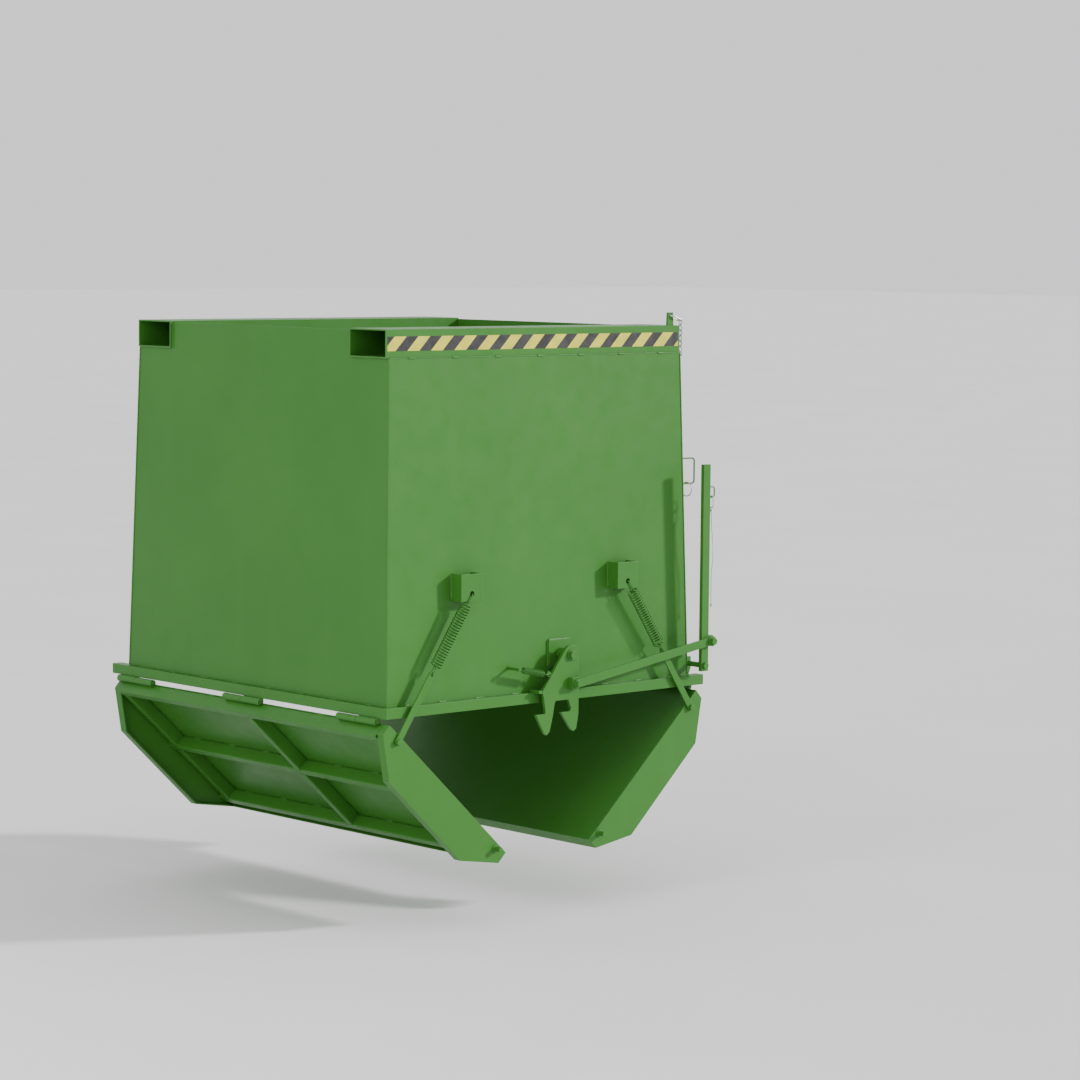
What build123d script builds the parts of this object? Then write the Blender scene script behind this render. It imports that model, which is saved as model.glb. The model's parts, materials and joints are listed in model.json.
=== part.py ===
from build123d import *
import math
import os

os.makedirs("parts", exist_ok=True)

# Drop-bottom container carried on forks. Millimetres, +Z up, +Y towards the truck.
# Heights below count from the bottom edge of the four walls.

# hopper
height = 1300.0
top_half_x = 723.5
top_half_y = 696.5
bottom_half_x = 757.0
bottom_half_y = 728.0
wall_thickness = 4.0
end_wall_drop = 5.0

# fork pockets
pocket_width = 200.0
pocket_height = 100.0
pocket_wall = 5.0
pocket_front_overhang = 12.0
tape_height = 50.0
tape_thickness = 0.5
tape_end_gap = 6.0

# bottom frame
frame_bar_width = 40.0
frame_bar_height = 37.0
frame_standoff_x = 28.0
frame_standoff_y = 21.0
front_bar_extension = 52.0
side_bar_extension = 36.5
side_bar_gap_half = 42.0

# hinges
knuckle_radius = 12.5
knuckle_length = 106.0
knuckle_gap = 2.0
pin_radius = 7.0
pin_end = 3.0
hinge_overhang = 6.0
hinge_spacing = 656.0
hinge_shift = -20.0
running_clearance = 0.05

# flaps
open_angle = 43.0
flap_meeting_gap = 3.0
flap_root = 13.5
panel_thickness = 4.0
panel_rise = 5.0
edge_strip_thickness = 4.0
tip_depth = 44.0
tip_slant = 2.0
rib_depth = 50.0
rib_thickness = 30.0
rib_wall = 3.0
rib_corner = 4.0
middle_rib_x = 18.0
edge_rib_setback = 66.0
cross_rib_setback = 48.0
plate_thickness = 8.0
plate_depth = 145.0
lip_width = 25.0
lip_thickness = 6.0
stud_radius = 9.0
stud_setback = 49.6
stud_drop = 15.7
stud_length = 31.0
rod_bolt_u = 80.0
rod_bolt_w = -17.0
rod_bolt_radius = 6.0

# lifting springs and rods
rod_plane_gap = 5.0
rod_width = 25.0
rod_thickness = 6.0
spring_hole_y = 376.0
spring_hole_z = 376.0
spring_length = 328.0
spring_radius = 19.0
spring_wire_radius = 2.25
spring_turns = 23
spring_top_loop = 48.0
spring_bottom_loop = 36.0
spring_loop_half_width = 8.0
bracket_width = 100.0
bracket_bottom = 350.0
bracket_top = 446.0
bracket_sheet = 5.0
bracket_hole_radius = 10.0

# hooks
hook_gap = 13.0
hook_thickness = 12.0
pivot_y = 84.0
pivot_z = 129.0
pivot_radius = 10.0
hook_eye_radius = 36.0
hook_tab_y = -20.0
hook_tab_z = 64.0
return_stud_y = -165.0
return_stud_z = 94.0
return_spring_radius = 10.5
return_wire_radius = 1.5
return_turns = 20

# release linkage
link_gap = 23.0
link_thickness = 8.0
link_width = 30.0
link_bolt_radius = 8.0
link_slot_play = 2.0
link_slot_clearance = 1.2
hook_bolt_y = 86.0
hook_bolt_z = 27.0
lever_thickness = 15.0
lever_width = 35.0
lever_bottom = 20.0
lever_top = 789.0
crank_top = 156.0
shaft_standoff = 15.0
shaft_z = 41.0
shaft_radius = 10.0
lever_bolt_offset_y = 21.0
lever_bolt_rise = 91.0

# rope and rope eye
rope_radius = 2.5
eye_bottom = 666.0
eye_top = 705.0
eye_reach = 27.5
eye_wire_radius = 2.5

frame_half_x = bottom_half_x + frame_standoff_x
frame_half_y = bottom_half_y + frame_standoff_y
hinge_y = frame_half_y + hinge_overhang
hinge_z = -frame_bar_height - knuckle_radius
flap_end = hinge_y - flap_meeting_gap
plate_outer = frame_half_x + plate_thickness
rod_plane = plate_outer + rod_plane_gap
hook_inner = plate_outer + hook_gap
hook_outer = hook_inner + hook_thickness
link_inner = hook_outer + link_gap
link_outer = link_inner + link_thickness
lever_outer = link_inner - 6.0
lever_inner = lever_outer - lever_thickness
shaft_y = bottom_half_y + shaft_standoff
lever_bolt_y = shaft_y + lever_bolt_offset_y
lever_bolt_z = shaft_z + lever_bolt_rise
latch_z = hinge_z - stud_drop
roof_z = height - pocket_wall
slope_x = (bottom_half_x - top_half_x) / height
slope_y = (bottom_half_y - top_half_y) / height


def block(x_span, y_span, z_span):
    size = [high - low for low, high in (x_span, y_span, z_span)]
    middle = [(low + high) / 2 for low, high in (x_span, y_span, z_span)]
    return Pos(*middle) * Box(*size)


def yz_prism(outline, x_low, x_high):
    return extrude(Plane.YZ.offset(x_low) * outline, x_high - x_low, dir=(1, 0, 0))


def polygon_yz(points, x_low, x_high):
    return yz_prism(Polygon(*points, align=None), x_low, x_high)


def round_x(y, z, radius, x_low, x_high):
    return yz_prism(Pos(y, z) * Circle(radius), x_low, x_high)


def hexagon_x(y, z, across_corners, x_low, x_high):
    return yz_prism(Pos(y, z) * RegularPolygon(across_corners / 2, 6), x_low, x_high)


def mirror_x(shape):
    return mirror(shape, about=Plane.YZ)


def mirror_y(shape):
    return mirror(shape, about=Plane.XZ)


def both_sides(shape):
    return [shape, mirror_x(shape)]


def wire_ring(length, width, wire_radius):
    """Closed wire loop round the origin in the XZ plane, long along Z, centreline sizes."""
    if length > width:
        outline = SlotOverall(length, width, rotation=90)
    elif width > length:
        outline = SlotOverall(width, length)
    else:
        outline = Circle(length / 2)
    path = (Plane.XZ * outline).face().outer_wire()
    section = Plane(origin=path @ 0, z_dir=path % 0) * Circle(wire_radius)
    return sweep(section, path=path)


def coil(radius, wire_radius, z_low, z_high, turns):
    """Open helix along Z that begins and ends on the +X side."""
    path = Pos(0, 0, z_low) * Helix(pitch=(z_high - z_low) / turns, height=z_high - z_low, radius=radius)
    section = Plane(origin=path @ 0, z_dir=path % 0) * Circle(wire_radius)
    helix = sweep(section, path=path, is_frenet=True)
    for z in (z_low, z_high):
        spoke = yz_prism(Pos(0, z) * Circle(wire_radius + 0.2), 0, radius)
        helix += spoke + Pos(radius, 0, z) * Sphere(wire_radius + 0.3)
    return helix


def along(plane_x, start, end):
    """Placement whose Z runs from start to end, both given as (y, z)."""
    direction = (0, end[0] - start[0], end[1] - start[1])
    return Plane(origin=(plane_x, *start), x_dir=(1, 0, 0), z_dir=direction).location


def save(name, *shapes):
    solids = [solid.moved(Location((0, 0, -roof_z))) for shape in shapes for solid in shape.solids()]
    export_step(Compound(children=solids) if len(solids) > 1 else solids[0], f"parts/{name}.step")
    print(name, len(solids))


# ---- hopper walls and fork pockets ----

hopper = loft(
    [
        Rectangle(2 * bottom_half_x, 2 * bottom_half_y),
        Plane.XY.offset(height) * Rectangle(2 * top_half_x, 2 * top_half_y),
    ],
    ruled=True,
)


def wall_profile(bottom_half):
    slope = slope_x if bottom_half == bottom_half_x else slope_y
    return [
        (bottom_half, 0),
        (bottom_half - slope * height, height),
        (bottom_half - slope * height - wall_thickness, height),
        (bottom_half - wall_thickness, 0),
    ]


pocket_right = top_half_x
pocket_left = top_half_x - pocket_width
pocket_floor = height - pocket_height
pocket_front = -top_half_y - pocket_front_overhang
pocket_outside = block((pocket_left, pocket_right), (pocket_front, top_half_y), (pocket_floor, height))
pocket_hollow = block(
    (pocket_left + pocket_wall, pocket_right - pocket_wall),
    (pocket_front - 1, top_half_y + 1),
    (pocket_floor + pocket_wall, height - pocket_wall),
)
right_pocket = pocket_outside - pocket_hollow

rear_slab = polygon_yz(wall_profile(bottom_half_y), -bottom_half_x, bottom_half_x)
above_end_wall = block((-900, 900), (-900, 900), (height - end_wall_drop, height + 10))
pocket_notch = block((pocket_left, 900), (-900, 900), (pocket_floor, height + 10))
rear_wall = (rear_slab & hopper) - pocket_notch - mirror_x(pocket_notch) - above_end_wall
side_outline = Plane.XZ * Polygon(*wall_profile(bottom_half_x), align=None)
side_slab = extrude(side_outline, bottom_half_y, both=True)
right_wall = (side_slab & hopper) - rear_slab - mirror_y(rear_slab) - pocket_notch

tape_middle = height - pocket_height / 2
tape = block(
    (top_half_x, top_half_x + tape_thickness),
    (pocket_front + tape_end_gap, top_half_y - tape_end_gap),
    (tape_middle - tape_height / 2, tape_middle + tape_height / 2),
)

save("rear_wall", rear_wall)
save("front_wall", mirror_y(rear_wall))
save("right_wall", right_wall)
save("left_wall", mirror_x(right_wall))
save("right_fork_pocket", right_pocket)
save("left_fork_pocket", mirror_x(right_pocket))
save("hazard_tapes", *both_sides(tape))

# ---- bottom frame ----

bar_z = (-frame_bar_height, 0)
end_bar_y = (frame_half_y - frame_bar_width, frame_half_y)
side_bar_x = (frame_half_x - frame_bar_width, frame_half_x)
side_bar_end = frame_half_y - frame_bar_width
front_bar = mirror_y(block((-frame_half_x - front_bar_extension, frame_half_x), end_bar_y, bar_z))
rear_bar = block((-frame_half_x + frame_bar_width, frame_half_x - frame_bar_width), end_bar_y, bar_z)
side_bar_front = block(side_bar_x, (-side_bar_end, -side_bar_gap_half), bar_z)
side_bar_rear = block(side_bar_x, (side_bar_gap_half, frame_half_y + side_bar_extension), bar_z)

save("front_frame_bar", front_bar)
save("rear_frame_bar", rear_bar)
save("side_frame_bars_front", *both_sides(side_bar_front))
save("side_frame_bars_rear", *both_sides(side_bar_rear))

# ---- hinges ----

hinge_middles = [hinge_shift + step * hinge_spacing for step in (-1, 0, 1)]
frame_side = [-1, 1, 1]


def knuckle_span(middle, side):
    near = knuckle_gap / 2
    far = near + knuckle_length
    return (middle + near, middle + far) if side > 0 else (middle - far, middle - near)


frame_knuckles = []
pins = []
flap_knuckles = []
for middle, side in zip(hinge_middles, frame_side):
    span = knuckle_span(middle, side)
    barrel = round_x(-hinge_y, hinge_z, knuckle_radius, *span)
    web = block(span, (-hinge_y - 5, -hinge_y + knuckle_radius), (hinge_z, -frame_bar_height))
    bore = round_x(-hinge_y, hinge_z, pin_radius, *span)
    frame_knuckles.append(barrel + web - bore)
    pin_reach = knuckle_length + knuckle_gap / 2 + pin_end
    pins.append(round_x(-hinge_y, hinge_z, pin_radius, middle - pin_reach, middle + pin_reach))
    flap_span = knuckle_span(middle, -side)
    flap_barrel = round_x(0, 0, knuckle_radius, *flap_span)
    flap_web = block(flap_span, (0, flap_root), (-8, 4))
    flap_bore = round_x(0, 0, pin_radius + running_clearance, *flap_span)
    flap_knuckles.append(flap_barrel + flap_web - flap_bore)

save("frame_knuckles", *frame_knuckles, *[mirror_y(knuckle) for knuckle in frame_knuckles])
save("hinge_pins", *pins, *[mirror_y(pin) for pin in pins])

# ---- flaps: drawn closed with the hinge axis at the origin, then swung open ----

panel_under = panel_rise - panel_thickness
edge_rib_u = flap_end - edge_rib_setback
mid_rib_u = (flap_root + edge_rib_u) / 2
plate_points = [
    (flap_root, panel_rise),
    (flap_root + 1, -38),
    (flap_root + 136, -plate_depth + 4),
    (flap_end - 152, -plate_depth),
    (flap_end - tip_slant, -tip_depth),
    (flap_end, panel_rise),
]
rib_z = (panel_under - rib_depth, panel_under)
panel = block((-frame_half_x, frame_half_x), (flap_root, flap_end), (panel_under, panel_rise))
edge_strip_points = [
    (flap_end, panel_under),
    (flap_end - tip_slant, -tip_depth),
    (flap_end - tip_slant - edge_strip_thickness, -tip_depth),
    (flap_end - edge_strip_thickness, panel_under),
]
edge_strip_half_x = frame_half_x - lip_width
edge_strip = yz_prism(Polygon(*edge_strip_points, align=None), -edge_strip_half_x, edge_strip_half_x)


def rib_section():
    """Rounded rectangular tube, rib thickness by rib depth."""
    inner_size = (rib_thickness - 2 * rib_wall, rib_depth - 2 * rib_wall)
    inside = RectangleRounded(*inner_size, rib_corner - rib_wall)
    return RectangleRounded(rib_thickness, rib_depth, rib_corner) - inside


def long_rib(u, half_length):
    middle = Pos(u + rib_thickness / 2, sum(rib_z) / 2)
    return yz_prism(middle * rib_section(), -half_length, half_length)


def cross_rib(x, near, far):
    middle = Plane.XZ.offset(-near) * Pos(x, sum(rib_z) / 2)
    return extrude(middle * rib_section(), far - near, dir=(0, 1, 0))


long_ribs = [
    long_rib(flap_root, frame_half_x - lip_width - 1),
    long_rib(mid_rib_u, frame_half_x),
    long_rib(edge_rib_u, frame_half_x),
]
cross_ribs = []
for rib_x in (cross_rib_setback - frame_half_x, middle_rib_x, frame_half_x - cross_rib_setback):
    for near, far in ((flap_root, mid_rib_u), (mid_rib_u, edge_rib_u)):
        cross_ribs.append(cross_rib(rib_x, near + rib_thickness, far))

plate_face = Polygon(*plate_points, align=None)
lip_ring = plate_face - offset(plate_face, -lip_thickness, kind=Kind.INTERSECTION)
end_plate = yz_prism(plate_face, frame_half_x, plate_outer)
end_lip = yz_prism(lip_ring, frame_half_x - lip_width, frame_half_x)
lip_clear_u = (flap_root + lip_thickness + 1, flap_end - lip_thickness - 1)
end_lip -= block((0, frame_half_x), lip_clear_u, (-12, 12))
end_lip -= block((0, frame_half_x), (0, flap_end + 10), (panel_under, panel_rise + 10))
end_plate += end_lip

stud_u = flap_end - stud_setback
stud = round_x(stud_u, -stud_drop, stud_radius, plate_outer, plate_outer + stud_length)
stud += round_x(stud_u, -stud_drop, stud_radius + 5, plate_outer, plate_outer + 4)
rod_inner = rod_plane - rod_thickness / 2
rod_outer = rod_plane + rod_thickness / 2
rod_bolt = round_x(rod_bolt_u, rod_bolt_w, rod_bolt_radius + 5, plate_outer, rod_inner - 0.4)
rod_bolt += round_x(rod_bolt_u, rod_bolt_w, rod_bolt_radius, plate_outer, rod_outer + 2)
rod_bolt += hexagon_x(rod_bolt_u, rod_bolt_w, 22, rod_outer + 0.5, rod_outer + 8)

flap_place = Location((0, -hinge_y, hinge_z), (-open_angle, 0, 0))
flap_pieces = {
    "flap_panel": [panel, edge_strip],
    "flap_end_plates": both_sides(end_plate),
    "flap_long_ribs": long_ribs,
    "flap_cross_ribs": cross_ribs,
    "flap_knuckles": flap_knuckles,
    "flap_studs": both_sides(stud),
    "flap_rod_bolts": both_sides(rod_bolt),
}
for name, pieces in flap_pieces.items():
    placed = [flap_place * piece for piece in pieces]
    save(f"front_{name}", *placed)
    save(f"rear_{name}", *[mirror_y(piece) for piece in placed])

# ---- spring brackets, lifting springs and rods ----

bracket_face_x = rod_plane - bracket_sheet / 2
bracket_y = (spring_hole_y - bracket_width / 2, spring_hole_y + bracket_width / 2)
bracket_z = (bracket_bottom, bracket_top)
bracket = block((bottom_half_x - 60, bracket_face_x + bracket_sheet), bracket_y, bracket_z)
bracket -= block(
    (bottom_half_x - 80, bracket_face_x),
    (bracket_y[0] + bracket_sheet, bracket_y[1] - bracket_sheet),
    (bracket_bottom - 1, bracket_top + 1),
)
bracket -= hopper
bracket_hole_x = (bracket_face_x - 1, bracket_face_x + bracket_sheet + 1)
bracket -= round_x(spring_hole_y, spring_hole_z, bracket_hole_radius, *bracket_hole_x)
brackets = both_sides(bracket)
save("spring_brackets", *brackets, *[mirror_y(piece) for piece in brackets])

turn = math.radians(-open_angle)
bolt_y = -hinge_y + rod_bolt_u * math.cos(turn) - rod_bolt_w * math.sin(turn)
bolt_z = hinge_z + rod_bolt_u * math.sin(turn) + rod_bolt_w * math.cos(turn)
spring_top = (-spring_hole_y, spring_hole_z)
rod_bottom = (bolt_y, bolt_z)
reach = math.dist(spring_top, rod_bottom)
unit = ((bolt_y + spring_hole_y) / reach, (bolt_z - spring_hole_z) / reach)
rod_top = (spring_top[0] + unit[0] * spring_length, spring_top[1] + unit[1] * spring_length)

loop_width = 2 * spring_loop_half_width
top_loop = wire_ring(spring_top_loop, loop_width, spring_wire_radius)
bottom_loop = wire_ring(spring_bottom_loop, loop_width, spring_wire_radius)
coil_z = (spring_top_loop, spring_length - spring_bottom_loop)
spring = Pos(0, 0, spring_top_loop / 2) * top_loop
spring += Pos(0, 0, spring_length - spring_bottom_loop / 2) * bottom_loop
spring += coil(spring_radius, spring_wire_radius, *coil_z, spring_turns)
front_springs = both_sides(along(rod_plane, spring_top, rod_bottom) * spring)
save("front_springs", *front_springs)
save("rear_springs", *[mirror_y(piece) for piece in front_springs])

rod_length = reach - spring_length
rod_outline = Pos(0, 0, rod_length / 2) * extrude(
    Plane.YZ * SlotCenterToCenter(rod_length, rod_width, rotation=90), rod_thickness / 2, both=True
)
rod = rod_outline - round_x(0, 0, 6, -10, 10)
rod -= round_x(0, rod_length, rod_bolt_radius + running_clearance, -10, 10)
front_rods = both_sides(along(rod_plane, rod_top, rod_bottom) * rod)
save("front_rods", *front_rods)
save("rear_rods", *[mirror_y(piece) for piece in front_rods])

# ---- hooks ----

hook_points = [
    (120, pivot_z),
    (120, latch_z - 19),
    (110, latch_z - 74),
    (97, latch_z - 83),
    (84, latch_z - 75),
    (36, latch_z - stud_radius - 0.8),
    (77, latch_z - stud_radius - 0.8),
    (85, latch_z + 1),
    (71, latch_z + 34),
    (10, latch_z + 34),
    (4, latch_z + 27),
    (-4, latch_z - 17),
    (-20, latch_z - 76),
    (-34, latch_z - 87),
    (-46, latch_z - 78),
    (-85, latch_z - stud_radius - 0.8),
    (-41, latch_z - stud_radius - 0.8),
    (-39, latch_z + 1),
    (-50, latch_z + 56),
    (-57, latch_z + 70),
    (-26, 44),
    (-4, 73),
    (pivot_y - 28.5, pivot_z + 22),
]
tab_thickness = 6.0
tab_middle = (hook_inner + hook_outer) / 2
hook = polygon_yz(hook_points, hook_inner, hook_outer)
hook += round_x(pivot_y, pivot_z, hook_eye_radius, hook_inner, hook_outer)
tab = Pos(tab_middle, hook_tab_y + 5, hook_tab_z - 2) * Rot(-37, 0, 0) * Box(tab_thickness, 34, 16)
tab -= block((0, 900), (-4, 200), (0, 200))
hook += tab
hook -= round_x(hook_tab_y, hook_tab_z, 4, 0, 900)
hook -= round_x(pivot_y, pivot_z, pivot_radius + running_clearance, 0, 900)
save("hook_plates", *both_sides(hook))

spacer = block((hook_outer, link_inner - 0.5), (hook_bolt_y - 15, hook_bolt_y + 15), (5, 49))
hook_bolt = round_x(hook_bolt_y, hook_bolt_z, link_bolt_radius, link_inner - 0.5, link_outer + 3)
hook_bolt += round_x(hook_bolt_y, hook_bolt_z, 15, link_outer + 0.5, link_outer + 3)
hook_bolt += hexagon_x(hook_bolt_y, hook_bolt_z, 22, link_outer + 3, link_outer + 12)
save("hook_spacers", *both_sides(spacer))
save("hook_link_bolts", *both_sides(hook_bolt))

pad_tilt = -math.degrees(math.atan(slope_x))
wall_face = Location((bottom_half_x, 0, 0), (0, pad_tilt, 0))
pad = wall_face * block((0, 8), (pivot_y - 58, pivot_y + 44), (83, 181))
boss = round_x(pivot_y, pivot_z, 22, bottom_half_x - 20, hook_inner - 0.5) - pad - hopper
pivot_bolt = round_x(pivot_y, pivot_z, pivot_radius, hook_inner - 0.5, hook_outer + 4)
pivot_bolt += round_x(pivot_y, pivot_z, 21, hook_outer + 0.5, hook_outer + 4)
pivot_bolt += hexagon_x(pivot_y, pivot_z, 32, hook_outer + 4, hook_outer + 15)
stop = block((frame_half_x - 20, hook_outer), (-71, -57.6), (0, 11))
return_stud = round_x(return_stud_y, return_stud_z, 5, bottom_half_x - 20, hook_outer) - hopper
save("hook_pads", *both_sides(pad))
save("hook_bosses", *both_sides(boss))
save("hook_pivot_bolts", *both_sides(pivot_bolt))
save("hook_stops", *both_sides(stop))
save("hook_spring_studs", *both_sides(return_stud))

return_top = (return_stud_y, return_stud_z)
return_end = (hook_tab_y, hook_tab_z)
return_length = math.dist(return_top, return_end)
stud_eye = Rot(0, 0, 90) * wire_ring(17, 17, return_wire_radius)
stud_neck = Pos(0, 0, 14.5) * Cylinder(return_wire_radius, 12)
tab_loop = Pos(0, 0, return_length - 13) * wire_ring(26, 13, return_wire_radius)
return_coil = coil(return_spring_radius, return_wire_radius, 20, return_length - 26, return_turns)
return_spring = stud_eye + stud_neck + tab_loop + return_coil
save("hook_return_springs", *both_sides(along(tab_middle, return_top, return_end) * return_spring))

# ---- release linkage ----

lever_y = (shaft_y - lever_width / 2, shaft_y + lever_width / 2)
lever = block((lever_inner, lever_outer), lever_y, (lever_bottom, lever_top))
lug_z = (lever_bolt_z - 20, lever_bolt_z + 20)
lever += block((lever_inner, lever_outer), (shaft_y, lever_bolt_y + 20), lug_z)
lever -= round_x(shaft_y, shaft_z, rod_bolt_radius, 0, 900)
lever -= round_x(lever_bolt_y, lever_bolt_z, link_bolt_radius, 0, 900)
crank = mirror_x(lever - block((0, 900), (0, 900), (crank_top, lever_top + 10)))
shaft = round_x(shaft_y, shaft_z, shaft_radius, -lever_inner, lever_inner)
end_bolt = round_x(shaft_y, shaft_z, rod_bolt_radius, lever_inner, lever_outer)
end_bolt += hexagon_x(shaft_y, shaft_z, 26, lever_outer, lever_outer + 9)
link_bolt = round_x(lever_bolt_y, lever_bolt_z, link_bolt_radius, lever_inner - 8, link_outer + 4)
link_bolt += round_x(lever_bolt_y, lever_bolt_z, 14, lever_outer, link_inner - 0.5)
link_bolt += round_x(lever_bolt_y, lever_bolt_z, 19.5, link_outer + 0.5, link_outer + 4)
link_bolt += hexagon_x(lever_bolt_y, lever_bolt_z, 27, link_outer + 4, link_outer + 17)
link_bolt += hexagon_x(lever_bolt_y, lever_bolt_z, 27, lever_inner - 8, lever_inner)
bearing = polygon_yz(
    [
        (bottom_half_y, 0),
        (bottom_half_y - 66 * slope_y, 66),
        (shaft_y + 16, 66),
        (shaft_y + 16, 24),
        (frame_half_y, 0),
    ],
    bottom_half_x - 22,
    bottom_half_x - 12,
)
bearing -= round_x(shaft_y, shaft_z, shaft_radius + running_clearance, 0, 900)

link_start = (hook_bolt_y, hook_bolt_z)
link_end = (lever_bolt_y, lever_bolt_z)
link_length = math.dist(link_start, link_end)
link_outline = Plane.YZ * Pos(0, link_length / 2) * SlotCenterToCenter(link_length, link_width, rotation=90)
slot_width = 2 * (link_bolt_radius + link_slot_clearance)
link_slot = Plane.YZ * SlotCenterToCenter(2 * link_slot_play, slot_width, rotation=90)
link = extrude(link_outline, link_thickness / 2, both=True) - extrude(link_slot, 10, both=True)
link -= round_x(0, link_length, link_bolt_radius + running_clearance, -10, 10)
link = along((link_inner + link_outer) / 2, link_start, link_end) * link

save("release_lever", lever)
save("release_crank", crank)
save("cross_shaft", shaft)
save("shaft_end_bolts", *both_sides(end_bolt))
save("lever_link_bolts", *both_sides(link_bolt))
save("shaft_bearings", *both_sides(bearing))
save("links", *both_sides(link))

# ---- rope eye, snap ring and rope ----

lever_middle = (lever_inner + lever_outer) / 2
lever_edge = shaft_y + lever_width / 2
eye_path = FilletPolyline(
    (lever_middle, lever_edge, eye_top),
    (lever_middle, lever_edge + eye_reach, eye_top),
    (lever_middle, lever_edge + eye_reach, eye_bottom),
    (lever_middle, lever_edge, eye_bottom),
    radius=10,
)
eye = sweep(Plane(origin=eye_path @ 0, z_dir=eye_path % 0) * Circle(eye_wire_radius), path=eye_path)
snap_y = lever_edge + eye_reach / 2
snap_top = eye_bottom + eye_wire_radius + 2.3
snap_length = 44.0
snap_ring = Pos(lever_middle, snap_y, snap_top - snap_length / 2) * wire_ring(snap_length, 18, 2)
knot_radius = 7.0
knot_z = snap_top - snap_length - 2 - knot_radius
upper_knot = Pos(lever_middle, snap_y, knot_z) * Sphere(knot_radius)

rope_points = [
    (lever_middle, snap_y, knot_z - 5),
    (lever_middle + 1, snap_y + 2, knot_z - 60),
    (lever_middle + 4, snap_y + 7, knot_z - 118),
    (lever_middle + 2, snap_y + 11, knot_z - 176),
    (lever_middle - 3, snap_y + 8, knot_z - 234),
    (lever_middle - 1, snap_y + 5, knot_z - 292),
    (lever_middle, snap_y + 6, knot_z - 350),
]


def rope_tube(points, radius):
    runs = [math.dist(a, b) for a, b in zip(points, points[1:])]
    bends = []
    for index in range(1, len(points) - 1):
        before = Vector(*points[index]) - Vector(*points[index - 1])
        after = Vector(*points[index + 1]) - Vector(*points[index])
        half_turn = math.radians(before.get_angle(after)) / 2
        bends.append(0.45 * min(runs[index - 1], runs[index]) / math.tan(half_turn))
    bend = min(bends)
    print("rope bend radii", [round(value) for value in bends], "used", round(bend))
    path = FilletPolyline(*points, radius=bend)
    print("rope length", round(path.length, 1))
    section = Plane(origin=path @ 0, z_dir=path % 0) * Circle(radius)
    return sweep(section, path=path)


lower_knot = Pos(*rope_points[-1]) * Pos(0, 0, -4) * Sphere(knot_radius)
rope = rope_tube(rope_points, rope_radius) - upper_knot - lower_knot
save("rope_eye", eye)
save("snap_ring", snap_ring)
save("rope_knots", upper_knot, lower_knot)
save("release_rope", rope)

# ---- rear corner fittings ----

guide_x = bottom_half_x - 34
guide_low = 712.0
guide_high = 806.0
guide_reach = bottom_half_y + 57
guide_path = FilletPolyline(
    (guide_x, bottom_half_y - 25, guide_high),
    (guide_x, guide_reach, guide_high),
    (guide_x, guide_reach, guide_low),
    (guide_x, bottom_half_y - 25, guide_low),
    radius=12,
)
guide = sweep(Plane(origin=guide_path @ 0, z_dir=guide_path % 0) * Circle(3), path=guide_path) - hopper
spare_ring = Pos(guide_x, guide_reach - 38, guide_low + 3.3 - 24) * Rot(90, 0, 0) * Torus(26, 2)
save("rope_guide", guide)
save("spare_ring", spare_ring)

lug_x = pocket_right - 8
lug_hole_y = top_half_y - 41
lug_hole_z = height + 36
corner_lug = polygon_yz(
    [
        (lug_hole_y - 16, height),
        (lug_hole_y + 16, height),
        (lug_hole_y + 13, height + 48),
        (lug_hole_y - 13, height + 48),
    ],
    lug_x - 4,
    lug_x + 4,
)
corner_lug -= round_x(lug_hole_y, lug_hole_z, 6, 0, 900)
shackle_end = (lug_hole_y + 56, lug_hole_z - 18)
shackle_length = math.dist((lug_hole_y, lug_hole_z), shackle_end)
shackle = Pos(0, 0, shackle_length / 2) * wire_ring(shackle_length, 28, 3.5)
shackle = along(lug_x, (lug_hole_y, lug_hole_z), shackle_end) * shackle
chain_links = []
link_centre_length = 25.0
chain_wire_radius = 2.5
chain_pitch = link_centre_length - 2 * chain_wire_radius - 0.3
first_centre = shackle_end[1] + 3.5 + chain_wire_radius + 0.3 - link_centre_length / 2
chain_link = wire_ring(link_centre_length, 13, chain_wire_radius)
for index in range(7):
    spin = 90 if index % 2 == 0 else 0
    centre = (lug_x, shackle_end[0], first_centre - index * chain_pitch)
    chain_links.append(Pos(*centre) * Rot(0, 0, spin) * chain_link)
save("corner_lug", corner_lug)
save("shackle", shackle)
save("safety_chain", *chain_links)

print("points measured from the fork roof plane, in metres")
for label, y, z in (
    ("flap hinge", -hinge_y, hinge_z),
    ("rod bolt", bolt_y, bolt_z),
    ("spring hole", *spring_top),
    ("rod top", *rod_top),
    ("hook pivot", pivot_y, pivot_z),
    ("hook link bolt", *link_start),
    ("lever link bolt", *link_end),
    ("shaft", shaft_y, shaft_z),
    ("return stud", *return_top),
):
    print(label, round(y / 1000, 5), round((z - roof_z) / 1000, 5))
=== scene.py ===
import json
import math
import random

import bpy
from mathutils import Matrix, Vector


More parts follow.
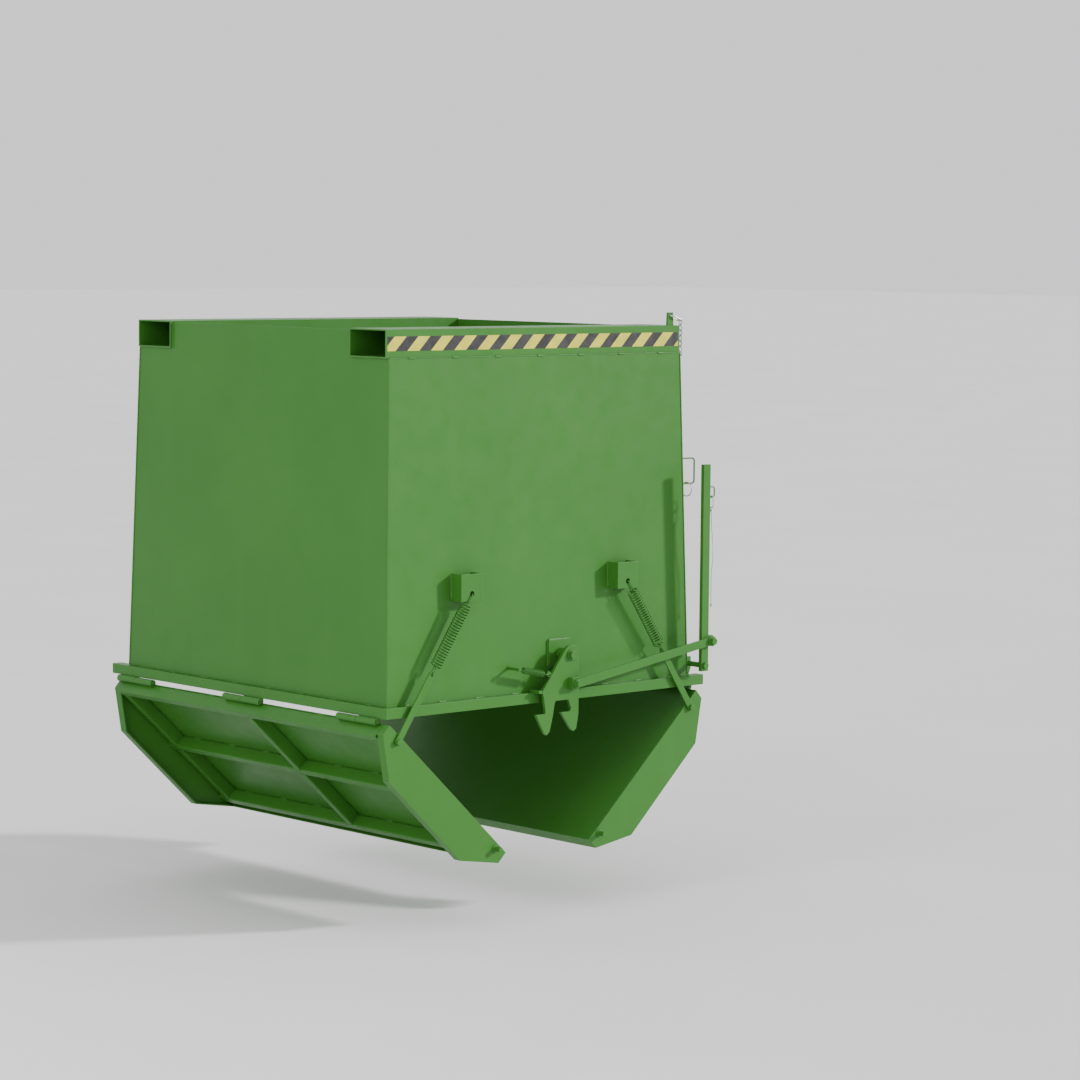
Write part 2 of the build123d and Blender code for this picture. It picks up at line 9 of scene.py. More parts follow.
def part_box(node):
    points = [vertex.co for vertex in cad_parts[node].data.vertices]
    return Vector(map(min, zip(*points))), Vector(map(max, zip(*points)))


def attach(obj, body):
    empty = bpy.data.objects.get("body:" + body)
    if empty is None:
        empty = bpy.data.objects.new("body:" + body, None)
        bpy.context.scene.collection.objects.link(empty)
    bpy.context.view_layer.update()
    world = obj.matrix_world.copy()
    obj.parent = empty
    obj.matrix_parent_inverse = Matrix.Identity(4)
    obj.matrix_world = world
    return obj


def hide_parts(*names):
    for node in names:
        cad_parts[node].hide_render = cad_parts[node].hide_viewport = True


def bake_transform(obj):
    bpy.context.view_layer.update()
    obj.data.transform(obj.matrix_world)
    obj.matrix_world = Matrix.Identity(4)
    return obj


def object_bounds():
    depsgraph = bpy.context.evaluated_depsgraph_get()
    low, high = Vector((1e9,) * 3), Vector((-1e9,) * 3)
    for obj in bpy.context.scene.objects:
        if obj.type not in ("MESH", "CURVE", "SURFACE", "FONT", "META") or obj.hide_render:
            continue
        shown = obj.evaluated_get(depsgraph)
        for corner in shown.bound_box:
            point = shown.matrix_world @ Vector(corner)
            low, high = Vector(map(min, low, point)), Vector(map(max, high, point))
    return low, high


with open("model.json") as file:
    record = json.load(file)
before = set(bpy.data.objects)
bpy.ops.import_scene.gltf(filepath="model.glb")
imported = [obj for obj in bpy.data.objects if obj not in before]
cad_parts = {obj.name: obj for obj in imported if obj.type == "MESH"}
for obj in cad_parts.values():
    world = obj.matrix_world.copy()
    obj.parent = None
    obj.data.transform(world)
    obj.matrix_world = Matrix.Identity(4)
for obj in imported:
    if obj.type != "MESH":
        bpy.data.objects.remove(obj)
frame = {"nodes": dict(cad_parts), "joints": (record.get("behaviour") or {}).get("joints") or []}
cad_low, cad_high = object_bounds()

# The row frame in metres, with heights below counted in millimetres from the walls' bottom edge.
joints = {joint["name"]: joint for joint in frame["joints"]}
wall_low, wall_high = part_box("right_wall")
pocket_low, pocket_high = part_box("right_fork_pocket")
BOTTOM_Z = wall_low.z
WALL_X = wall_high.x * 1000
WALL_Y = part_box("rear_wall")[1].y * 1000
TOP_X = pocket_high.x * 1000
TOP_Y = pocket_high.y * 1000
POCKET_LEFT_X = pocket_low.x * 1000
POCKET_FLOOR = (pocket_low.z - BOTTOM_Z) * 1000
WALL_HEIGHT = (pocket_high.z - BOTTOM_Z) * 1000
FRAME_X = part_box("front_flap_panel")[1].x * 1000
HINGE_Y = joints["rear_flap_hinge"]["pos_m"][1] * 1000
HINGE_Z = (joints["rear_flap_hinge"]["pos_m"][2] - BOTTOM_Z) * 1000
OPEN_ANGLE = math.radians(joints["front_flap_hinge"]["range_deg"][1])
SIDES = (1, -1)


def point(x, y, z):
    return Vector((x / 1000, y / 1000, BOTTOM_Z + z / 1000))


def wall_x(z):
    return WALL_X - (WALL_X - TOP_X) * z / WALL_HEIGHT


def wall_y(z):
    return WALL_Y - (WALL_Y - TOP_Y) * z / WALL_HEIGHT


def flap_point(x, u, w, end):
    """A point on a flap, u along it from the hinge and w off its face. End is -1 for front, 1 for rear."""
    y = -HINGE_Y + u * math.cos(OPEN_ANGLE) + w * math.sin(OPEN_ANGLE)
    z = HINGE_Z - u * math.sin(OPEN_ANGLE) + w * math.cos(OPEN_ANGLE)
    return point(x, -end * y, z)


# ---- materials ----


def new_material(name):
    material = bpy.data.materials.new(name)
    material.use_nodes = True
    tree = material.node_tree
    return material, tree, tree.nodes["Principled BSDF"]


def add(tree, kind, **settings):
    node = tree.nodes.new(kind)
    for key, value in settings.items():
        if key in node.inputs:
            node.inputs[key].default_value = value
        else:
            setattr(node, key, value)
    return node


def noise(tree, scale, detail=3.0, stretch=(1, 1, 1)):
    """Noise in object coordinates, so it is fixed to the piece."""
    place = add(tree, "ShaderNodeTexCoord")
    mapping = add(tree, "ShaderNodeMapping")
    mapping.inputs["Scale"].default_value = stretch
    texture = add(tree, "ShaderNodeTexNoise", Scale=scale, Detail=detail)
    tree.links.new(place.outputs["Object"], mapping.inputs["Vector"])
    tree.links.new(mapping.outputs["Vector"], texture.inputs["Vector"])
    return texture.outputs["Fac"]


def remap(tree, value, low, high, to_low, to_high):
    node = add(tree, "ShaderNodeMapRange")
    settings = {"From Min": low, "From Max": high, "To Min": to_low, "To Max": to_high}
    for key, number in settings.items():
        node.inputs[key].default_value = number
    tree.links.new(value, node.inputs["Value"])
    return node.outputs["Result"]


def mix_colour(tree, factor, first, second):
    """Mixes two colours, each a tuple or the output of another node."""
    node = add(tree, "ShaderNodeMix", data_type="RGBA")
    tree.links.new(factor, node.inputs["Factor"])
    for slot, colour in ((6, first), (7, second)):
        if isinstance(colour, tuple):
            node.inputs[slot].default_value = (*colour, 1)
        else:
            tree.links.new(colour, node.inputs[slot])
    return node.outputs[2]


def bump(tree, shader, height, strength, distance, normal=None):
    node = add(tree, "ShaderNodeBump", Strength=strength, Distance=distance)
    tree.links.new(height, node.inputs["Height"])
    if normal is not None:
        tree.links.new(normal, node.inputs["Normal"])
    tree.links.new(node.outputs["Normal"], shader.inputs["Normal"])


def paint_material():
    """Satin green paint: slow colour drift, run marks, orange peel and a painted highlight along the edges,
    broken up by noise.
    """
    material, tree, shader = new_material("green_paint")
    drift = remap(tree, noise(tree, 2.2, 4), 0.35, 0.65, 0, 1)
    colour = mix_colour(tree, drift, (0.031, 0.146, 0.016), (0.035, 0.157, 0.018))
    runs = remap(tree, noise(tree, 9, 5, (1, 1, 0.12)), 0.56, 0.74, 0, 0.15)
    colour = mix_colour(tree, runs, colour, (0.048, 0.180, 0.026))

    rounded = add(tree, "ShaderNodeBevel", samples=4, Radius=0.0022)
    flat = add(tree, "ShaderNodeNewGeometry")
    turned = add(tree, "ShaderNodeVectorMath", operation="DOT_PRODUCT")
    tree.links.new(rounded.outputs["Normal"], turned.inputs[0])
    tree.links.new(flat.outputs["Normal"], turned.inputs[1])
    # Painted highlight: a lighter green on the edges, broken up by noise, standing in for the gloss that
    # catches them.
    edge = remap(tree, turned.outputs["Value"], 0.995, 0.80, 0, 0.6)
    edge_highlight = add(tree, "ShaderNodeMath", operation="MULTIPLY")
    tree.links.new(edge, edge_highlight.inputs[0])
    tree.links.new(remap(tree, noise(tree, 35, 4), 0.35, 0.62, 0.15, 1), edge_highlight.inputs[1])
    colour = mix_colour(tree, edge_highlight.outputs["Value"], colour, (0.150, 0.340, 0.100))
    tree.links.new(colour, shader.inputs["Base Color"])

    tree.links.new(remap(tree, noise(tree, 14, 4), 0.3, 0.7, 0.34, 0.48), shader.inputs["Roughness"])
    shader.inputs["Specular IOR Level"].default_value = 0.22
    shader.inputs["Coat Weight"].default_value = 0.04
    shader.inputs["Coat Roughness"].default_value = 0.2
    bump(tree, shader, noise(tree, 520, 2), 0.10, 0.0004, rounded.outputs["Normal"])
    return material


def tape_material():
    """Black and yellow hazard stripes that lean towards the rear, in a gloss film."""
    material, tree, shader = new_material("tape")
    tape_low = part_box("hazard_tapes")[0]
    stripe_pitch = 0.107
    first_stripe = 0.035
    place = add(tree, "ShaderNodeTexCoord")
    split = add(tree, "ShaderNodeSeparateXYZ")
    tree.links.new(place.outputs["Object"], split.inputs["Vector"])
    lean = add(tree, "ShaderNodeMath", operation="SUBTRACT")
    tree.links.new(split.outputs["Y"], lean.inputs[0])
    tree.links.new(split.outputs["Z"], lean.inputs[1])
    shift = add(tree, "ShaderNodeMath", operation="SUBTRACT")
    shift.inputs[1].default_value = tape_low.y - tape_low.z + first_stripe
    tree.links.new(lean.outputs["Value"], shift.inputs[0])
    repeat = add(tree, "ShaderNodeMath", operation="WRAP")
    repeat.inputs[1].default_value = stripe_pitch
    repeat.inputs[2].default_value = 0
    tree.links.new(shift.outputs["Value"], repeat.inputs[0])
    black = add(tree, "ShaderNodeMath", operation="LESS_THAN")
    black.inputs[1].default_value = stripe_pitch * 0.5
    tree.links.new(repeat.outputs["Value"], black.inputs[0])
    yellow = mix_colour(
        tree, remap(tree, noise(tree, 30, 4), 0.35, 0.7, 0, 1), (0.62, 0.58, 0.030), (0.50, 0.47, 0.030)
    )
    dark = mix_colour(
        tree, remap(tree, noise(tree, 60, 4), 0.4, 0.75, 0, 1), (0.006, 0.006, 0.007), (0.020, 0.020, 0.018)
    )
    tree.links.new(mix_colour(tree, black.outputs["Value"], yellow, dark), shader.inputs["Base Color"])
    tree.links.new(remap(tree, noise(tree, 25, 3), 0.3, 0.7, 0.28, 0.48), shader.inputs["Roughness"])
    bump(tree, shader, noise(tree, 240, 2), 0.08, 0.0002)
    return material


def steel_material():
    """Zinc-plated steel with a mottled, slightly dulled surface."""
    material, tree, shader = new_material("bright_steel")
    mottle = remap(tree, noise(tree, 120, 5), 0.3, 0.7, 0, 1)
    zinc = mix_colour(tree, mottle, (0.42, 0.42, 0.41), (0.66, 0.66, 0.64))
    tree.links.new(zinc, shader.inputs["Base Color"])
    shader.inputs["Metallic"].default_value = 1.0
    tree.links.new(remap(tree, noise(tree, 300, 3), 0.3, 0.7, 0.22, 0.46), shader.inputs["Roughness"])
    bump(tree, shader, noise(tree, 700, 3), 0.15, 0.0003)
    return material


def rope_material():
    material, tree, shader = new_material("rope")
    fibre = remap(tree, noise(tree, 500, 4, (1, 1, 0.25)), 0.3, 0.7, 0, 1)
    fibres = mix_colour(tree, fibre, (0.62, 0.61, 0.56), (0.84, 0.83, 0.79))
    tree.links.new(fibres, shader.inputs["Base Color"])
    tree.links.new(remap(tree, noise(tree, 400, 3), 0.3, 0.7, 0.72, 0.92), shader.inputs["Roughness"])
    shader.inputs["Sheen Weight"].default_value = 0.3
    bump(tree, shader, noise(tree, 1400, 3, (1, 1, 0.3)), 0.5, 0.0004)
    return material


def floor_material():
    material, tree, shader = new_material("floor")
    cloud = remap(tree, noise(tree, 0.8, 3), 0.3, 0.7, 0, 1)
    grey = mix_colour(tree, cloud, (0.71, 0.71, 0.71), (0.74, 0.74, 0.74))
    tree.links.new(grey, shader.inputs["Base Color"])
    tree.links.new(remap(tree, noise(tree, 3, 3), 0.3, 0.7, 0.78, 0.9), shader.inputs["Roughness"])
    bump(tree, shader, noise(tree, 60, 3), 0.05, 0.001)
    return material


materials = {
    "green_paint": paint_material(),
    "tape": tape_material(),
    "bright_steel": steel_material(),
    "rope": rope_material(),
}
STEEL_NODES = ("shackle", "safety_chain", "spare_ring", "snap_ring")


def finish_of(node):
    if node == "hazard_tapes":
        return "tape"
    return "bright_steel" if node in STEEL_NODES else "green_paint"


for name, node in frame["nodes"].items():
    if not node.material_slots:
        node.data.materials.append(materials[finish_of(name)])
    for material_slot in node.material_slots:
        material_slot.link = "OBJECT"
        material_slot.material = materials[finish_of(name)]


# ---- tubes: wires, ropes and weld beads ----


def tube(centres, radii, sides=8, closed=False):
    """Vertices and faces of a round tube along the centres, turned as little as possible."""
    count = len(centres)
    tangents = []
    for index in range(count):
        before = centres[index - 1] if closed or index else centres[0]
        after = centres[(index + 1) % count] if closed or index < count - 1 else centres[-1]
        tangents.append((after - before).normalized())
    across = tangents[0].orthogonal().normalized()
    vertices = []
    for index in range(count):
        across = (across - tangents[index] * across.dot(tangents[index])).normalized()
        beside = tangents[index].cross(across)
        for side in range(sides):
            angle = 2 * math.pi * side / sides
            offset = across * math.cos(angle) + beside * math.sin(angle)
            vertices.append(centres[index] + offset * radii[index])
    faces = []
    for index in range(count if closed else count - 1):
        here = index * sides
        there = (index + 1) % count * sides
        for side in range(sides):
            near = (side + 1) % sides
            faces.append((here + side, here + near, there + near, there + side))
    if not closed:
        faces.append(tuple(reversed(range(sides))))
        faces.append(tuple(range((count - 1) * sides, count * sides)))
    return vertices, faces


def make_piece(name, parts, material):
    """One mesh object from several (vertices, faces) parts, smooth shaded."""
    vertices = []
    faces = []
    for part_vertices, part_faces in parts:
        start = len(vertices)
        vertices.extend(part_vertices)
        faces.extend(tuple(start + corner for corner in face) for face in part_faces)
    mesh = bpy.data.meshes.new(name)
    mesh.from_pydata([tuple(vertex) for vertex in vertices], [], faces)
    mesh.shade_smooth()
    mesh.materials.append(materials[material])
    piece = bpy.data.objects.new(name, mesh)
    bpy.context.scene.collection.objects.link(piece)
    return piece


# ---- springs ----


def smooth(value):
    return value * value * (3 - 2 * value)


def placed_along(plane_x, start, end):
    """Maps a local point, z along the line from start to end in (y, z), to the row frame."""
    origin = point(plane_x, *start)
    z_axis = (point(plane_x, *end) - origin).normalized()
    x_axis = Vector((1, 0, 0))
    y_axis = z_axis.cross(x_axis)

    def place(x, y, z):
        return origin + (x_axis * x + y_axis * y + z_axis * z) / 1000

    return place


ROD_HALF_THICKNESS = 3
SPRING_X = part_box("front_rods")[1].x * 1000 - ROD_HALF_THICKNESS
SPRING_LENGTH = 328.0
SPRING_HOLE = (376.0, 376.0)
SPRING_RADIUS = 19.0
SPRING_TOP_LOOP = 48.0
SPRING_BOTTOM_LOOP = 36.0
SPRING_LOOP_HALF_WIDTH = 8
SPRING_TURNS = 23
SPRING_PITCH = (SPRING_LENGTH - SPRING_TOP_LOOP - SPRING_BOTTOM_LOOP) / SPRING_TURNS
SPRING_WIRE = 2.25
# The lower half is thinner by this much, so that the turns that overlap at rest show no seam.
LOWER_WIRE_INSET = 0.1
HALF_TURNS = 12.5
LOOP_STEPS = 12
RAMP_STEPS = 8
TURN_STEPS = 16


def half_spring(loop_length, hand):
    """Hook loop from z 0, then a coil that begins at z loop_length, as local millimetre points."""
    width = SPRING_LOOP_HALF_WIDTH
    shoulder = loop_length - width + width * 0.4
    path = [(0, 0, loop_length), (width * 0.8, 0, shoulder)]
    for step in range(LOOP_STEPS + 1):
        angle = math.pi * step / LOOP_STEPS
        path.append((width * math.cos(angle), 0, width * (1 - math.sin(angle))))
    path.append((-width * 0.8, 0, shoulder))
    for step in range(RAMP_STEPS + 1):
        share = step / RAMP_STEPS
        angle = hand * math.pi * (share - 1)
        reach = SPRING_RADIUS * smooth(share)
        path.append((reach * math.cos(angle), reach * math.sin(angle), loop_length - 2 * (1 - share)))
    for step in range(1, int(HALF_TURNS * TURN_STEPS) + 1):
        angle = hand * 2 * math.pi * step / TURN_STEPS
        rise = SPRING_PITCH * step / TURN_STEPS
        path.append((SPRING_RADIUS * math.cos(angle), SPRING_RADIUS * math.sin(angle), loop_length + rise))
    return path


for end_name, end in (("front", -1), ("rear", 1)):
    bolt = joints[f"{end_name}_rod_pivot"]["pos_m"]
    top_parts = []
    bottom_parts = []
    for side in SIDES:
        hole = (end * SPRING_HOLE[0], SPRING_HOLE[1])
        bolt_place = (bolt[1] * 1000, (bolt[2] - BOTTOM_Z) * 1000)
        place = placed_along(side * SPRING_X, hole, bolt_place)
        hand = side * -end
        upper = half_spring(SPRING_TOP_LOOP, hand)
        upper = [place(*at) for at in upper]
        lower = half_spring(SPRING_BOTTOM_LOOP, -hand)
        lower = [place(x, y, SPRING_LENGTH - z) for x, y, z in lower]
        top_parts.append(tube(upper, [SPRING_WIRE / 1000] * len(upper)))
        bottom_parts.append(tube(lower, [(SPRING_WIRE - LOWER_WIRE_INSET) / 1000] * len(lower)))
    top = make_piece(f"{end_name}_spring_tops", top_parts, "green_paint")
    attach(top, "container")
    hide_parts(f"{end_name}_springs")
    bottom = make_piece(f"{end_name}_spring_bottoms", bottom_parts, "green_paint")
    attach(bottom, f"{end_name}_rods")

HOOK_HALF_THICKNESS = 6
RETURN_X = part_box("hook_plates")[1].x * 1000 - HOOK_HALF_THICKNESS
RETURN_STUD = (-165.0, 94.0)
RETURN_TAB = (-20.0, 64.0)
RETURN_TURNS = 20
RETURN_LENGTH = math.dist(RETURN_STUD, RETURN_TAB)
RETURN_COIL = (20.0, RETURN_LENGTH - 26.0)
RETURN_EYE_RADIUS = 8.5
RETURN_NECK = 14
RETURN_RADIUS = 10.5
RETURN_HOOK_RADIUS = 6.5
RETURN_WIRE = 0.0015
RETURN_FADE_TURNS = 0.5


def return_spring_parts(side):
    place = placed_along(side * RETURN_X, RETURN_STUD, RETURN_TAB)
    eye = []
    for step in range(24):
        angle = 2 * math.pi * step / 24
        eye.append(place(0, RETURN_EYE_RADIUS * math.cos(angle), RETURN_EYE_RADIUS * math.sin(angle)))
    neck = [place(0, 0, height) for height in (RETURN_EYE_RADIUS, RETURN_NECK, RETURN_COIL[0])]
    pitch = (RETURN_COIL[1] - RETURN_COIL[0]) / RETURN_TURNS
    wound = []
    for step in range(RETURN_TURNS * TURN_STEPS + 1):
        angle = side * 2 * math.pi * step / TURN_STEPS
        turns_done = step / TURN_STEPS
        edge = min(1, turns_done / RETURN_FADE_TURNS, (RETURN_TURNS - turns_done) / RETURN_FADE_TURNS)
        reach = RETURN_RADIUS * smooth(edge)
        rise = pitch * turns_done
        wound.append(place(reach * math.cos(angle), reach * math.sin(angle), RETURN_COIL[0] + rise))
    hooked = []
    for step in range(28):
        angle = 2 * math.pi * step / 28
        across = RETURN_HOOK_RADIUS * math.sin(angle)
        lift = RETURN_HOOK_RADIUS * (math.cos(angle) + math.copysign(1, math.cos(angle)))
        hooked.append(place(across, 0, RETURN_LENGTH - 2 * RETURN_HOOK_RADIUS + lift))
    return [
        tube(eye, [RETURN_WIRE] * len(eye), closed=True),
        tube(neck, [RETURN_WIRE] * len(neck)),
        tube(wound, [RETURN_WIRE] * len(wound)),
        tube(hooked, [RETURN_WIRE] * len(hooked), closed=True),
    ]


return_parts = return_spring_parts(1) + return_spring_parts(-1)
return_springs = make_piece("hook_spring_coils", return_parts, "green_paint")
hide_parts("hook_return_springs")
coil_place = placed_along(0, RETURN_STUD, RETURN_TAB)
coil_start, coil_end = (coil_place(0, 0, height) for height in RETURN_COIL)
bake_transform(return_springs)
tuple(coil_start)
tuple(coil_end)

# ---- rope ----

ROPE_X = 827.5
ROPE_Y = 774.25
KNOT_Z = 617.8
ROPE_RADIUS = 0.0025
STRAND_OFFSET = ROPE_RADIUS * 0.536
STRAND_RADIUS = ROPE_RADIUS * 0.464
LAY_LENGTH = 0.016
ROPE_OFFSETS = (
    (0, 0, -5),
    (1, 2, -60),
    (4, 7, -118),
    (2, 11, -176),
    (-3, 8, -234),
    (-1, 5, -292),
    (0, 6, -350),
)
rope_points = [point(ROPE_X + x, ROPE_Y + y, KNOT_Z + z) for x, y, z in ROPE_OFFSETS]
route_curve = bpy.data.curves.new("rope_route", "CURVE")
route_curve.dimensions = "3D"
route_curve.resolution_u = 40
spline = route_curve.splines.new("NURBS")
spline.points.add(len(rope_points) - 1)
for control, place_at in zip(spline.points, rope_points):
    control.co = (*place_at, 1)
spline.order_u = 3
spline.use_endpoint_u = True
route = bpy.data.objects.new("rope_route", route_curve)
bpy.context.scene.collection.objects.link(route)
bpy.context.view_layer.update()
route_mesh = bpy.data.meshes.new_from_object(route)
centreline = [vertex.co.copy() for vertex in route_mesh.vertices]
bpy.data.objects.remove(route)
bpy.data.meshes.remove(route_mesh)


def twisted_strands(centres, offset, strand_radius, lay_length, strands=3):
    parts = []
    travelled = [0.0]
    for first, second in zip(centres, centres[1:]):
        travelled.append(travelled[-1] + (second - first).length)
    across = Vector((1, 0, 0))
    for strand in range(strands):
        path = []
        for index, centre in enumerate(centres):
            tangent = (centres[min(index + 1, len(centres) - 1)] - centres[max(index - 1, 0)]).normalized()
            first = (across - tangent * across.dot(tangent)).normalized()
            second = tangent.cross(first)
            angle = 2 * math.pi * (travelled[index] / lay_length + strand / strands)
            path.append(centre + (first * math.cos(angle) + second * math.sin(angle)) * offset)
        parts.append(tube(path, [strand_radius] * len(path), 7))
    return parts


strand_parts = twisted_strands(centreline, STRAND_OFFSET, STRAND_RADIUS, LAY_LENGTH)
rope = make_piece("release_rope_strands", strand_parts, "rope")
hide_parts("release_rope")
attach(rope, "release")


def knot_part(centre, size, wire):
    """A tied knot as a three-lobed closed strand."""
    path = []
    for step in range(72):
        angle = 2 * math.pi * step / 72
        x = math.sin(angle) + 2 * math.sin(2 * angle)
        y = math.cos(angle) - 2 * math.cos(2 * angle)
        z = -math.sin(3 * angle)
        path.append(centre + Vector((x, z * 1.3, y)) * size / 3)
    return tube(path, [wire] * len(path), 8, closed=True)


KNOT_REACH = 0.0047
KNOT_STRAND = 0.0022
knot_centres = (point(ROPE_X, ROPE_Y, KNOT_Z), rope_points[-1] - Vector((0, 0, 0.004)))
knot_parts = [knot_part(centre, KNOT_REACH, KNOT_STRAND) for centre in knot_centres]
knots = make_piece("rope_knots_tied", knot_parts, "rope")
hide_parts("rope_knots")
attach(knots, "release")
tuple(rope_points[0])
[tuple(place_at) for place_at in centreline]

# ---- weld beads ----

bead_random = random.Random(11)
# Bead radii, and (radius, length, spacing) of stitches, in millimetres.
CORNER_BEAD = 3.0
LEDGE_BEAD = 1.6
LEDGE_STITCH = (3.6, 32, 205)
POCKET_BEAD = 2.4
SIDE_STITCH = (3.4, 40, 170)
END_STITCH = (3.4, 40, 190)
BRACKET_BEAD = 5.0
PAD_BEAD = 4.0
STUD_BEAD = 2.4
PANEL_BEAD = 1.6
PANEL_STITCH = (3.0, 40, 170)
RIB_STITCH = (3.2, 38, 220)
RIB_CORNER_BEAD = 2.2
LATCH_BEAD = 1.8

HOOK_GAP = 50
BRACKET_HALF_WIDTH = 50
BRACKET_HEIGHTS = (352, 444)
PAD_CORNERS = ((26, 83), (128, 83), (128, 181), (26, 181))


def bead(start, end, radius):
    """One rippled weld bead, radius in millimetres."""
    length = (end - start).length
    count = max(4, int(length / 0.0035))
    centres = []
    radii = []
    for index in range(count + 1):
        share = index / count
        jitter = Vector([bead_random.uniform(-1, 1) for _ in range(3)]) * radius * 0.06 / 1000
        centres.append(start.lerp(end, share) + jitter)
        taper = min(1, share * length / 0.004 + 0.3, (1 - share) * length / 0.004 + 0.3)
        ripple = 1 + 0.14 * math.sin(2 * math.pi * share * length / 0.007)
        radii.append(radius / 1000 * taper * ripple)
    return tube(centres, radii, 7)


def stitches(start, end, radius, length, spacing):
    """Short beads spaced evenly along a line, lengths in millimetres."""
    total = (end - start).length * 1000
    count = max(1, round(total / spacing))
    beads = []
    for index in range(count):
        middle = (index + 0.5) / count
        half = length / 2 / total
        beads.append(bead(start.lerp(end, middle - half), start.lerp(end, middle + half), radius))
    return beads


def outline(corners, radius):
    """Beads round a closed ring of points."""
    return [bead(start, end, radius) for start, end in zip(corners, corners[1:] + corners[:1])]


wall_welds = []
for side in SIDES:
    for end in SIDES:
        wall_welds.append(
            bead(
                point(side * WALL_X, end * WALL_Y, 2),
                point(side * wall_x(POCKET_FLOOR), end * wall_y(POCKET_FLOOR), POCKET_FLOOR - 1),
                CORNER_BEAD,
            )
        )
    ledge_start = point(side * wall_x(POCKET_FLOOR), -TOP_Y, POCKET_FLOOR)
    ledge_end = point(side * wall_x(POCKET_FLOOR), TOP_Y, POCKET_FLOOR)
    wall_welds.append(bead(ledge_start, ledge_end, LEDGE_BEAD))
    wall_welds.extend(stitches(ledge_start, ledge_end, *LEDGE_STITCH))
    for end in SIDES:
        low = point(side * POCKET_LEFT_X, end * wall_y(POCKET_FLOOR), POCKET_FLOOR)
        corner = point(side * TOP_X, end * wall_y(POCKET_FLOOR), POCKET_FLOOR)
        high = point(side * POCKET_LEFT_X, end * wall_y(WALL_HEIGHT - 6), WALL_HEIGHT - 6)
        wall_welds.append(bead(low, corner, POCKET_BEAD))
        wall_welds.append(bead(low, high, POCKET_BEAD))
    seam_x = side * (WALL_X + 0.5)
    for near, far in ((-WALL_Y, -HOOK_GAP), (HOOK_GAP, WALL_Y)):
        wall_welds.extend(stitches(point(seam_x, near, 0.5), point(seam_x, far, 0.5), *SIDE_STITCH))
for end in SIDES:
    seam = (point(-WALL_X, end * (WALL_Y + 0.5), 0.5), point(WALL_X, end * (WALL_Y + 0.5), 0.5))
    wall_welds.extend(stitches(*seam, *END_STITCH))

for side in SIDES:
    for end in SIDES:
        for edge_y in (SPRING_HOLE[0] - BRACKET_HALF_WIDTH, SPRING_HOLE[0] + BRACKET_HALF_WIDTH):
            low, high = (point(side * wall_x(height), end * edge_y, height) for height in BRACKET_HEIGHTS)
            wall_welds.append(bead(low, high, BRACKET_BEAD))
    pad_corners = [
        point(side * (wall_x(height) + 1), y, height)
        for y, height in PAD_CORNERS
    ]
    wall_welds.extend(outline(pad_corners, PAD_BEAD))
    ring = []
    for step in range(12):
        angle = 2 * math.pi * step / 12
        y = RETURN_STUD[0] + 6 * math.cos(angle)
        height = RETURN_STUD[1] + 6 * math.sin(angle)
        ring.append(point(side * (wall_x(height) + 0.5), y, height))
    wall_welds.extend(outline(ring, STUD_BEAD))

container_welds = make_piece("container_welds", wall_welds, "green_paint")
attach(container_welds, "container")

FLAP_ROOT = 13.5
FLAP_MEETING_GAP = 3
FLAP_END = HINGE_Y - FLAP_MEETING_GAP
PANEL_TOP = 5.0
PANEL_UNDER = 1.0
RIB = 30.0
RIB_DEPTH = 50.0
CROSS_RIB_SETBACK = 48
END_RIB_X = FRAME_X - CROSS_RIB_SETBACK
MIDDLE_RIB_X = 18.0
EDGE_RIB_SETBACK = 66
EDGE_RIB = FLAP_END - EDGE_RIB_SETBACK
RIB_STARTS = (FLAP_ROOT, (FLAP_ROOT + EDGE_RIB) / 2, EDGE_RIB)
STUD = (FLAP_END - 49.6, -15.7)

for end_name, end in (("front", -1), ("rear", 1)):
    beads = []
    for side in SIDES:
        seam_x = side * (FRAME_X - 0.3)
        seam_start = flap_point(seam_x, 40, PANEL_TOP, end)
        seam_end = flap_point(seam_x, FLAP_END - 4, PANEL_TOP, end)
        beads.append(bead(seam_start, seam_end, PANEL_BEAD))
        beads.extend(
            stitches(
                flap_point(seam_x - side * 2, 60, PANEL_UNDER - 1, end),
                flap_point(seam_x - side * 2, FLAP_END - 40, PANEL_UNDER - 1, end),
                *PANEL_STITCH,
            )
        )
    for start in RIB_STARTS:
        for face in (start, start + RIB):
            beads.extend(
                stitches(
                    flap_point(-FRAME_X + 45, face, PANEL_UNDER - 0.5, end),
                    flap_point(FRAME_X - 45, face, PANEL_UNDER - 0.5, end),
                    *RIB_STITCH,
                )
            )
    for rib_x in (-END_RIB_X, MIDDLE_RIB_X, END_RIB_X):
        for u in (RIB_STARTS[0] + RIB, RIB_STARTS[1], RIB_STARTS[1] + RIB, RIB_STARTS[2]):
            for face_x in (rib_x - RIB / 2, rib_x + RIB / 2):
                low = flap_point(face_x, u, PANEL_UNDER - 6, end)
                high = flap_point(face_x, u, PANEL_UNDER - RIB_DEPTH + 4, end)
                beads.append(bead(low, high, RIB_CORNER_BEAD))
    for side in SIDES:
        ring = []
        for step in range(14):
            angle = 2 * math.pi * step / 14
            u = STUD[0] + 14 * math.cos(angle)
            w = STUD[1] + 14 * math.sin(angle)
            ring.append(flap_point(side * (FRAME_X + 8.5), u, w, end))
        beads.extend(outline(ring, LATCH_BEAD))
    flap_welds = make_piece(f"{end_name}_flap_welds", beads, "green_paint")
    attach(flap_welds, f"{end_name}_flap")

# ---- floor, lights and camera ----

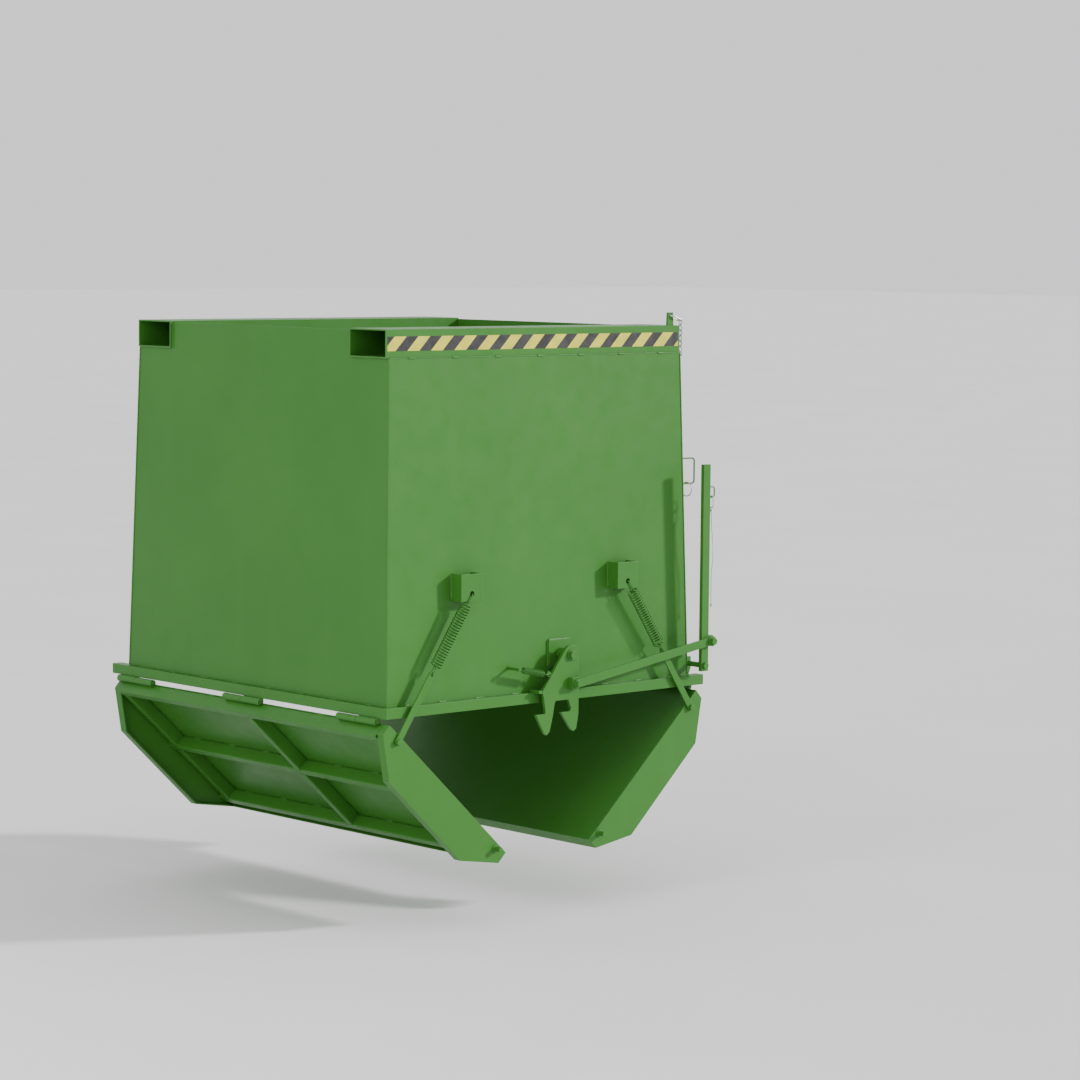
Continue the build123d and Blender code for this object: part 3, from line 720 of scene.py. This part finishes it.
FLOOR_DROP = 0.22
FLOOR_HALF = 120.0
floor_mesh = bpy.data.meshes.new("studio_floor")
floor_z = cad_low.z - FLOOR_DROP
corners = [(-1, -1), (1, -1), (1, 1), (-1, 1)]
floor_mesh.from_pydata([(x * FLOOR_HALF, y * FLOOR_HALF, floor_z) for x, y in corners], [], [(0, 1, 2, 3)])
floor_mesh.materials.append(floor_material())
floor = bpy.data.objects.new("studio_floor", floor_mesh)
bpy.context.scene.collection.objects.link(floor)

world = bpy.data.worlds.new("studio")
bpy.context.scene.world = world
world.use_nodes = True
world.node_tree.nodes["Background"].inputs["Color"].default_value = (1, 1, 1, 1)
world.node_tree.nodes["Background"].inputs["Strength"].default_value = 1.05

middle = (cad_low + cad_high) / 2


def area_light(name, direction, distance, size, power):
    data = bpy.data.lights.new(name, "AREA")
    data.shape = "DISK"
    data.size = size
    data.energy = power
    light = bpy.data.objects.new(name, data)
    light.visible_camera = False
    bpy.context.scene.collection.objects.link(light)
    away = Vector(direction).normalized()
    light.location = middle + away * distance
    light.rotation_mode = "QUATERNION"
    light.rotation_quaternion = away.to_track_quat("Z", "Y")


sun_data = bpy.data.lights.new("key", "SUN")
sun_data.energy = 4.2
sun_data.angle = math.radians(5)
sun = bpy.data.objects.new("key", sun_data)
bpy.context.scene.collection.objects.link(sun)
sun.rotation_mode = "QUATERNION"
sun.rotation_quaternion = Vector((0.58, 0.72, 0.38)).to_track_quat("Z", "Y")
area_light("front_fill", (0.25, -1.0, 0.45), 7.0, 3.0, 160)

CAMERA_AT = Vector((9.699, -8.147, 0.314))
AZIMUTH = math.radians(47.73)
PITCH = math.radians(5.04)
ROLL = math.radians(0.54)
back = Vector((math.sin(AZIMUTH) * math.cos(PITCH), -math.cos(AZIMUTH) * math.cos(PITCH), math.sin(PITCH)))
level = Vector((math.cos(AZIMUTH), math.sin(AZIMUTH), 0))
upright = back.cross(level)
right = level * math.cos(ROLL) + upright * math.sin(ROLL)
upward = upright * math.cos(ROLL) - level * math.sin(ROLL)
camera_data = bpy.data.cameras.new("camera")
camera_data.lens = 113.33
camera_data.sensor_width = 36.0
camera_data.clip_end = 400.0
camera = bpy.data.objects.new("camera", camera_data)
bpy.context.scene.collection.objects.link(camera)
axes = Matrix((right, upward, back)).transposed().to_4x4()
camera.matrix_world = Matrix.Translation(CAMERA_AT) @ axes
bpy.context.scene.camera = camera
